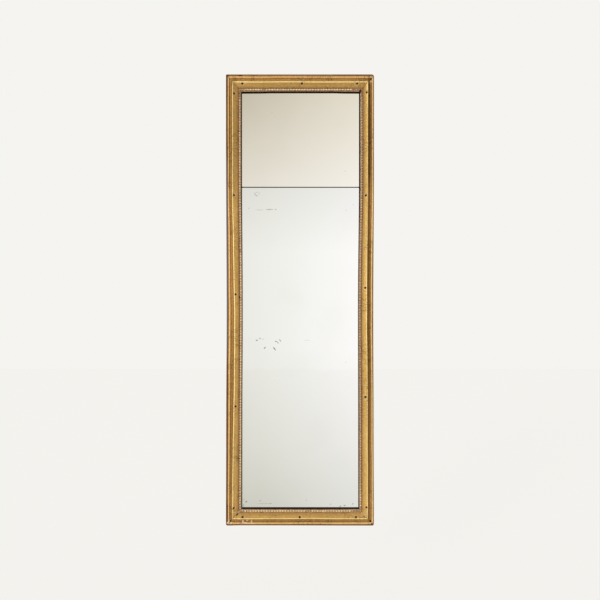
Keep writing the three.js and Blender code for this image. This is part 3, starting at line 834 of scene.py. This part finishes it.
# ---- Face nails -------------------------------------------------------------------------------
# Sixteen hand-forged iron nails, driven in just inside the ridge through the finished gilding. Their
# low heads still show the hammer's facets.
nail_profile = np.array([(0.1, 0.0), (1.3, 2.6), (1.3, 24.2), (2.3, 24.4), (2.85, 24.7), (2.85, 25.2),
                         (2.2, 25.65), (1.2, 25.9), (0.15, 26.0)]) * mm  # radius, height from the point
nail_sides = 14
head_radius = 2.85 * mm
head_start = 24 * mm
hammer_dent = 0.12 * mm


def turned(profile, foot, facing, sides, angle_shift=0.0):
    """Points [row, side] of radius and height pairs turned about a level axis through foot. facing is -1
    where the heights grow towards the front and 1 where they grow towards the back."""
    radius, height = profile.T[..., None]
    angle = angle_shift - 2 * np.pi * np.arange(sides) / sides
    x, z = radius * np.cos(angle), -facing * radius * np.sin(angle)
    return np.array(foot) + np.stack([x, facing * height + 0 * angle, z], -1)


def forged_iron(name, dark, rust, rusted, sheen=0.75):
    """Pitted iron. rusted is how much of it rust has taken, and sheen how much of a metal it still looks."""
    made, wire = new_finish(name)
    place = wire.place()
    patches = place.noise(160, 5, 0.6)
    pits = place.noise(900, 3, 0.6)
    rusty = (patches * 0.7 + pits * 0.3).step(0.62 - rusted, 0.74 - rusted)
    colour = wire.mix(dark, rust, rusty)
    colour = wire.mix(colour, (0.30, 0.26, 0.22, 1), pits.step(0.5, 0.7) * 0.6, "MULTIPLY")
    surface(wire, {"Base Color": colour, "Metallic": sheen * (1 - rusty * 0.8),
                   "Roughness": 0.48 + rusty * 0.35, "Specular IOR Level": 0.3},
            patches * 0.5 + pits, 0.25 * mm)
    return made


nail_iron = forged_iron("nail_iron", chart(38, 16, 5), chart(64, 27, 10), rusted=0.16, sheen=0.0)
for part in members.values():
    for name in nodes_with(part["node"] + "_nail_"):
        low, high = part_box(name)
        foot = ((low.x + high.x) / 2, high.y, (low.z + high.z) / 2)
        points = turned(nail_profile, foot, -1, nail_sides, draw.uniform(0, np.pi))
        head = nail_profile[:, 1] > head_start
        across_head = np.hypot(points[head, :, 0] - foot[0], points[head, :, 2] - foot[2])
        angle = np.arctan2(points[head, :, 2] - foot[2], points[head, :, 0] - foot[0])
        facets = 1 + np.cos(4 * angle + draw.uniform(0, 6))
        points[head, :, 1] += hammer_dent * facets * across_head / head_radius
        fitted(skinned(name.replace("_nail_", "_forged_nail_"), points), [nail_iron], [name])

# ---- Mirror plates ----------------------------------------------------------------------------
# Two old plates of blown glass, silvered on the back. The upper one has gone cream, the lower one is
# greyer, and its silvering has flaked in spots, in dashes and along the foot. Across each plate the
# silvering's colour grows lighter and darker as a painted reflection.
plate_arris = 0.7 * mm
# where the silvering has gone thin: x, z, half-length, half-width in mm, turn in degrees, share lost
upper_marks = [(-100, -114, 2, 1.6, 0, 0.2), (-89, -129, 2, 1.4, 0, 0.2), (160, -321, 2.4, 1.8, 0, 0.25)]
lower_marks = [
    (-160.5, -402, 2.0, 5.2, 8, 0.50), (-155, -407.6, 5.4, 1.9, -28, 0.50), (-153, -396.6, 5.6, 1.6, 12, 0.3),
    (-145, -401, 1.9, 5.0, -14, 0.22), (-108, -457.6, 15, 1.7, 1, 0.55), (-86, -457.5, 3.2, 2.6, 0, 0.45),
    (-143.5, -459, 15, 2.4, 0, 0.16), (-182.2, -453.5, 2.6, 2.4, 0, 0.25), (190, -441, 2.2, 1.8, 0, 0.25),
    (163, -460, 2.4, 1.8, 0, 0.25), (-153.8, -923.1, 4.0, 2.5, 10, 0.75), (-142.5, -916.4, 3.3, 2.8, 0, 0.5),
    (-131.2, -918.9, 3.6, 1.9, 35, 0.25), (-85.4, -927, 5.0, 1.9, -6, 0.7), (-79, -931.7, 4.2, 2.2, -62, 0.5),
    (-70.8, -923.6, 5.8, 2.0, -60, 0.65), (-125.3, -949.9, 5.2, 2.3, 50, 0.7),
    (-90.8, -953.1, 7.8, 2.4, -55, 0.75), (26, -923, 13, 1.6, 0, 0.14), (163, -1001, 2.2, 2.0, 0, 0.25),
    (-191.1, -1497, 4.6, 2.6, 20, 0.55), (-199.3, -1488.9, 5, 2.2, 70, 0.2),
    (-141.3, -1494.2, 3.6, 3, 0, 0.25), (-128, -1503.8, 25, 1.6, 0, 0.2), (-104.6, -1503.8, 4.5, 2, 0, 0.3),
    (22.4, -1492, 2.6, 5, 0, 0.12), (108.8, -1506.3, 4.4, 2, 15, 0.25), (143, -1513.4, 4, 2.2, 20, 0.5),
    (158.6, -1510.6, 4.6, 2.5, 0, 0.5), (187.8, -1505.2, 4.2, 3, 25, 0.3),
]


def planed(low, high, axis, draw, edge, spacing, uneven, turn=0.0):
    """Points of a straight bar with rounded edges, from corner to corner: a core rectangle, plus the
    edge's radius along the outward direction at each point, carried along one axis. uneven is how
    deep the plane or saw has cut. turn tips the bar about the level axis through its middle."""
    low, high = np.array(low), np.array(high)
    first, second = (axis + 1) % 3, (axis + 2) % 3
    half = (high - low) / 2 - edge
    core, outward = [], []
    for side_1, side_2, start in ((-1, -1, 270), (-1, 1, 180), (1, 1, 90), (1, -1, 0)):
        angle = np.radians(start - np.array([0, 30, 60, 90]))
        corner = np.array([side_1 * half[first], side_2 * half[second]])
        following = corner * ((1, -1) if side_1 == side_2 else (-1, 1))
        count = max(1, round(np.abs(following - corner).max() / spacing))
        edge_points = corner + (following - corner) * (np.arange(1, count) / count)[:, None]
        core += [corner] * 4 + list(edge_points)
        directions = np.column_stack([np.cos(angle), np.sin(angle)])
        outward += list(directions) + [directions[-1]] * len(edge_points)
    core, outward = np.array(core), np.array(outward)
    rise = np.radians([70, 35])
    length = high[axis] - low[axis]
    even = np.linspace(edge, length - edge, max(2, round(length / spacing)))
    along = np.concatenate([edge - edge * np.sin(rise), even, (length - edge + edge * np.sin(rise))[::-1]])
    radius = np.concatenate([edge * np.cos(rise), np.full(len(even), edge), (edge * np.cos(rise))[::-1]])
    dip = uneven * (0.5 + 0.5 * hand_waves(along[:, None] + 0.37 * core[:, 0] + 0.21 * core[:, 1], draw))
    points = np.zeros((len(along), len(core), 3))
    points[..., axis] = along[:, None] - length / 2
    points[..., first] = core[:, 0] + (radius[:, None] - dip) * outward[:, 0]
    points[..., second] = core[:, 1] + (radius[:, None] - dip) * outward[:, 1]
    c, s = math.cos(turn), math.sin(turn)
    x, z = points[..., 0] * c - points[..., 2] * s, points[..., 0] * s + points[..., 2] * c
    return (low + high) / 2 + np.stack([x, points[..., 1], z], -1)


def old_mirror(name, low, high, reflection_tints, marks, corroded):
    """Silvered glass. The colours listed for its left and its right side, at heights from 0 to 1, are a
    painted reflection over the silvering's own cream and grey; marks are where the silvering has gone thin,
    and corroded are where it has turned green."""
    made, wire = new_finish(name)
    place = wire.place()
    rightwards, upwards = [
        wire.node("ShaderNodeMapRange", {}, {
            "Value": wire.node("ShaderNodeSeparateXYZ", {}, {"Vector": place}, out=axis),
            "From Min": low[axis], "From Max": high[axis]})
        for axis in (0, 2)]
    sides = [wire.node("ShaderNodeValToRGB", {"stops": [(height, chart(*tint)) for height, tint in side]},
                       {"Fac": upwards}, out="Color") for side in reflection_tints]
    colour = wire.mix(sides[0], sides[1], rightwards)
    clouds = place.noise(5.5, 4, 0.5)
    colour = wire.mix(colour, (0.86, 0.86, 0.83, 1), clouds.step(0.46, 0.74) * 0.14, "MULTIPLY")

    # noise shakes the marks' outlines, and its mean, half the shake, is added to their places
    shake = 2.2 * mm
    noise = wire.node("ShaderNodeTexNoise", {}, {"Vector": place, "Scale": 260.0, "Detail": 2.0}, out="Color")
    moved = wire.node("ShaderNodeVectorMath", {"operation": "MULTIPLY_ADD"},
                      {0: noise, 1: (shake,) * 3, 2: place})

    def from_mark(x, z, half_length, half_width, turn):
        """The distance from a mark's middle, where 1 is its rim."""
        middle = (x * mm + shake / 2, low.y + shake / 2, z * mm + shake / 2)
        return wire.node("ShaderNodeMapping", {"vector_type": "TEXTURE"}, {
            "Vector": moved, "Location": middle, "Rotation": (0.0, -math.radians(turn), 0.0),
            "Scale": (half_length * mm, 1.0, half_width * mm)}).length()

    loss = 0.0
    for *shape, strength in marks:
        loss = from_mark(*shape).step(1.25, 0.55) * strength + loss
    colour = wire.mix(colour, chart(58, 60, 54), loss)
    specks = place.noise(520, 2, 0.4).step(0.745, 0.78)
    colour = wire.mix(colour, chart(150, 150, 142), specks * place.noise(7, 2).step(0.5, 0.62) * 0.5)
    for shape in corroded:
        colour = wire.mix(colour, chart(150, 186, 180), from_mark(*shape).step(1.3, 0.5) * 0.85)
    surface(wire, {"Base Color": colour, "Metallic": 1.0, "Roughness": 0.02 + loss * 0.35},
            place.noise(11, 2, 0.4), 0.12 * mm)
    return made


def backing_paint():
    """Thin red-brown paint, brushed sideways over the back of the silvering."""
    made, wire = new_finish("backing_paint")
    place = wire.place()
    strokes = place.stretched(14, 90, 90).noise(1, 5, 0.6)
    colour = wire.mix(chart(104, 60, 44), chart(70, 44, 36), strokes.step(0.35, 0.65))
    colour = wire.mix(colour, chart(128, 120, 112), place.noise(60, 4).step(0.62, 0.72) * 0.4)
    surface(wire, {"Base Color": colour, "Roughness": 0.55 + strokes * 0.25}, strokes, 0.3 * mm)
    return made


plate_back = backing_paint()
# the colours along each plate's sides are a painted reflection over the silvering's own tint
plate_looks = {
    "upper_mirror": ("cream_silvering", (
        [(0, (227, 223, 211)), (0.45, (215, 209, 195)), (1, (196, 189, 171))],
        [(0, (246, 242, 235)), (0.45, (238, 233, 222)), (1, (228, 222, 206))],
    ), upper_marks, []),
    "lower_mirror": ("grey_silvering", (
        [(0, (206, 206, 195)), (0.2, (221, 222, 214)), (0.5, (235, 236, 231)), (0.8, (236, 237, 232)),
         (1, (222, 223, 216))],
        [(0, (227, 228, 225)), (0.2, (240, 240, 238)), (0.5, (253, 253, 253)), (0.8, (253, 253, 253)),
         (1, (240, 240, 238))],
    ), lower_marks, [(-201.4, -1510.6, 3.2, 5.6, 0)]),
}
for name, (silvering, reflection_tints, marks, corroded) in plate_looks.items():
    low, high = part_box(name + "_plate")
    silver = old_mirror(silvering, low, high, reflection_tints, marks, corroded)
    points = planed(low, high, 0, draw, edge=plate_arris, spacing=12 * mm, uneven=0.02 * mm)
    plate = skinned(name.replace("_mirror", "_plate_of_glass"), points)
    facing = np.zeros(3 * len(plate.data.polygons))
    plate.data.polygons.foreach_get("normal", facing)
    is_back = facing[1::3] > -0.5  # the edges too
    plate.data.polygons.foreach_set("material_index", is_back.astype(np.int32))
    fitted(plate, [silver, plate_back], [name + "_plate"])

# ---- Slat, glazing blocks and keys ------------------------------------------------------------
# A slat painted near-black as painted shade covers the joint of the two plates from behind, ten short
# blocks are glued in the rebate to hold the glass forward, and a hardwood key crosses the back of each
# mitre.
# the slat's near-black pine is painted shade, seen through the gap between the plates
joint_shade_pine = bare_wood("joint_shade_pine", chart(54, 46, 38), chart(34, 29, 25), (3, 60, 60))
upright_pine, level_pine = [bare_wood("pine_" + way, chart(170, 130, 84), chart(128, 90, 52), grain)
                            for way, grain in (("upright", (60, 60, 3)), ("level", (3, 60, 60)))]
key_hardwood = bare_wood("key_hardwood", chart(112, 76, 46), chart(78, 50, 30), (26, 50, 26))

low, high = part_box("plate_joint_slat")
points = planed(low, high, 0, draw, edge=0.6 * mm, spacing=10 * mm, uneven=0.15 * mm)
fitted(skinned("joint_slat", points), [joint_shade_pine], ["plate_joint_slat"])
for node in nodes_with("_glazing_block_"):
    low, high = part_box(node)
    axis = 2 if node.startswith(("left", "right")) else 0
    points = planed(low, high, axis, draw, edge=0.7 * mm, spacing=3 * mm, uneven=0.2 * mm)
    wood = upright_pine if axis == 2 else level_pine
    fitted(skinned(node.replace("_block_", "_wedge_"), points), [wood], [node])

key_size = np.array([30, 8, 9]) * mm
key_proud = 0.9 * mm  # how far the key has crept out of its slot as the wood round it shrank
for node in nodes_with("_mitre_key"):
    low, high = corners_of(node)
    turn = math.pi / 4 if node.startswith(("top_left", "bottom_right")) else -math.pi / 4
    middle = (low + high) / 2 + (0, key_proud / 2, 0)
    size = key_size + (0, key_proud, 0)
    points = planed(middle - size / 2, middle + size / 2, 0, draw,
                    edge=0.6 * mm, spacing=3 * mm, uneven=0.1 * mm, turn=turn)
    fitted(skinned(node.replace("_key", "_spline"), points), [key_hardwood], [node])

# ---- Backboards -------------------------------------------------------------------------------
# Five thin pine boards, sawn and roughly planed, laid across in the outer rebate and held by two small
# clout nails at each end.
board_knots = [  # x, z and radius in mm
    (-120, -140, 8), (95, -215, 6), (60, -420, 9), (-150, -545, 6), (-30, -700, 7), (140, -830, 9),
    (-80, -1010, 8), (30, -1150, 6), (-160, -1300, 9), (110, -1420, 7),
]
board_finish = bare_wood("pine_backboards", chart(190, 148, 98), chart(146, 104, 62), (2.2, 40, 34),
                         relief=0.5 * mm, knots=board_knots)
clout_inset = 5 * mm  # from a board's end
clout_profile = np.array([(0.1, -5.0), (0.6, -4.2), (0.6, -0.15), (1.7, -0.1), (1.75, 0.15), (1.3, 0.4),
                          (0.2, 0.5)]) * mm  # radius and height above the board's back
clout_places = []
for node in sorted(nodes_with("backboard_")):
    low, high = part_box(node)
    points = planed(low, high, 0, draw, edge=0.6 * mm, spacing=9 * mm, uneven=0.3 * mm)
    board = skinned(node.replace("backboard_", "pine_board_"), points)
    note(board, "Shift", draw.uniform(-2, 2, 3), points.shape)
    note(board, "Tone", draw.uniform(0.1, 0.75), points.shape[:-1])
    fitted(board, [board_finish], [node])
    for x in (low.x + clout_inset, high.x - clout_inset):
        for share in (0.16, 0.84):
            z = low.z + (high.z - low.z) * (share + draw.uniform(-0.03, 0.03))
            clout_places.append((x + draw.uniform(-0.8, 0.8) * mm, high.y, z))
clout_iron = forged_iron("clout_iron", chart(58, 50, 44), chart(112, 62, 34), rusted=0.04)
clouts = np.stack([turned(clout_profile, place, 1, 10, draw.uniform(0, np.pi)) for place in clout_places])
nails = skinned("backboard_clout_nails", clouts)
nails.data.materials.append(clout_iron)
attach(nails, "frame")

# ---- Hangers ----------------------------------------------------------------------------------
# On the back of each stile an iron strap, curled at its top into an eye that holds a loose ring. Two
# slotted screws fix it.
strap_width = 15 * mm
eye_width = 9 * mm
strap_thickness = 1.8 * mm
wire_radius = 1.75 * mm
eye_clearance = 1 * mm
eye_sweep = math.radians(200)
shoulder_drop = 9 * mm  # from the ring's axis down to where the full width ends
shoulder_length = 7 * mm
strap_edge = 0.5 * mm
tip_length = 7 * mm
screw_profile = np.array([(0.1, -15.7), (0.9, -12.5), (1.5, -11.2), (1.5, 0.0), (3.1, 0.0), (3.2, 0.35),
                          (3.05, 0.8), (2.7, 1.05), (2.3, 1.25), (1.9, 1.38), (1.5, 1.47), (1.1, 1.54),
                          (0.7, 1.58), (0.3, 1.6)]) * mm  # radius and height above the strap
slot_half_width = 0.5 * mm
slot_floor = 0.8 * mm  # above the strap
hanger_iron = forged_iron("hanger_iron", chart(74, 62, 54), chart(132, 74, 42), rusted=0.10)
# the screws' iron is paler than the strap's: a painted highlight on their heads
screw_iron = forged_iron("screw_iron", chart(142, 128, 110), chart(120, 72, 42), rusted=0.08)


def strap(side):
    """A flat bar carried along its side view: straight up, then round an arc that makes the eye. Its
    width runs from a rounded tip to the full strap, and narrows at the shoulder."""
    low, high = corners_of(f"{side}_hanger_strap")
    ring_low, ring_high = corners_of(f"{side}_hanger_ring")
    bore = wire_radius + eye_clearance
    middle_radius = bore + strap_thickness / 2
    axis_height = ring_high[2] - wire_radius
    axis_back = (ring_low[1] + ring_high[1]) / 2
    tail = axis_height - low[2]
    rise = np.concatenate([np.linspace(0, tip_length, 9), np.linspace(tip_length, tail, 34)[1:]])
    angle = np.linspace(-math.pi / 2, eye_sweep, 44)[1:]
    up = np.concatenate([rise - tail, middle_radius * np.cos(angle)])
    back = np.concatenate([np.full(len(rise), -middle_radius), middle_radius * np.sin(angle)])
    heading = np.concatenate([np.zeros(len(rise)), angle + math.pi / 2])
    from_tip = np.concatenate([rise, np.full(len(angle), tail)])
    tip = np.sqrt(np.clip(1 - (1 - from_tip / tip_length) ** 2, 0.02, 1))
    tip = np.where(from_tip < tip_length, tip, 1)
    narrowing = smooth((from_tip - (tail - shoulder_drop - shoulder_length)) / shoulder_length)
    half_width = (strap_width / 2 + (eye_width - strap_width) / 2 * narrowing) * tip
    corner_angle = np.radians([270, 225, 180, 180, 135, 90, 90, 45, 0, 0, -45, -90])
    sign_1, sign_2 = np.repeat([-1, -1, 1, 1], 3), np.repeat([-1, 1, 1, -1], 3)
    sideways = (half_width[:, None] - strap_edge) * sign_1 + strap_edge * np.cos(corner_angle)
    through = (strap_thickness / 2 - strap_edge) * sign_2 + strap_edge * np.sin(corner_angle)
    centre_x = (low[0] + high[0]) / 2
    y = axis_back + back[:, None] + through * np.cos(heading)[:, None]
    z = axis_height + up[:, None] - through * np.sin(heading)[:, None]
    return np.stack([centre_x + sideways, y, z], -1)


def wire_ring(side, draw):
    """A ring of round wire: centre + (R + r cos a) outwards + r sin a backwards, r a little uneven."""
    low, high = corners_of(f"{side}_hanger_ring")
    turn = 2 * np.pi * np.arange(72)[:, None] / 72
    angle = -2 * np.pi * np.arange(12) / 12
    radius = (high[0] - low[0]) / 2 - wire_radius
    wire = wire_radius * (0.95 + 0.05 * np.sin(3 * turn + draw.uniform(0, 6)) * np.cos(5 * turn))
    outwards = radius + wire * np.cos(angle)
    shape = np.stack([outwards * np.cos(turn), wire * np.sin(angle), outwards * np.sin(turn)], -1)
    return (low + high) / 2 + shape


for side in ("left", "right"):
    fitted(skinned(f"{side}_strap_and_eye", strap(side)), [hanger_iron], [f"{side}_hanger_strap"])
    fitted(skinned(f"{side}_hanging_ring", wire_ring(side, draw), ring=True), [hanger_iron],
           [f"{side}_hanger_ring"], f"{side}_ring")
    for node in (f"{side}_hanger_screw_1", f"{side}_hanger_screw_2"):
        low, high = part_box(node)
        foot = np.array([(low.x + high.x) / 2, high.y - screw_profile[-1, 1], (low.z + high.z) / 2])
        points = turned(screw_profile, foot, 1, 48)
        turn = draw.uniform(0, np.pi)
        off_slot = (points[..., 0] - foot[0]) * math.cos(turn) + (points[..., 2] - foot[2]) * math.sin(turn)
        in_slot = (np.abs(off_slot) < slot_half_width) & (points[..., 1] > foot[1] + slot_floor + 0.1 * mm)
        points[..., 1] = np.where(in_slot, foot[1] + slot_floor, points[..., 1])
        fitted(skinned(node.replace("_hanger_", "_slotted_"), points), [screw_iron], [node])
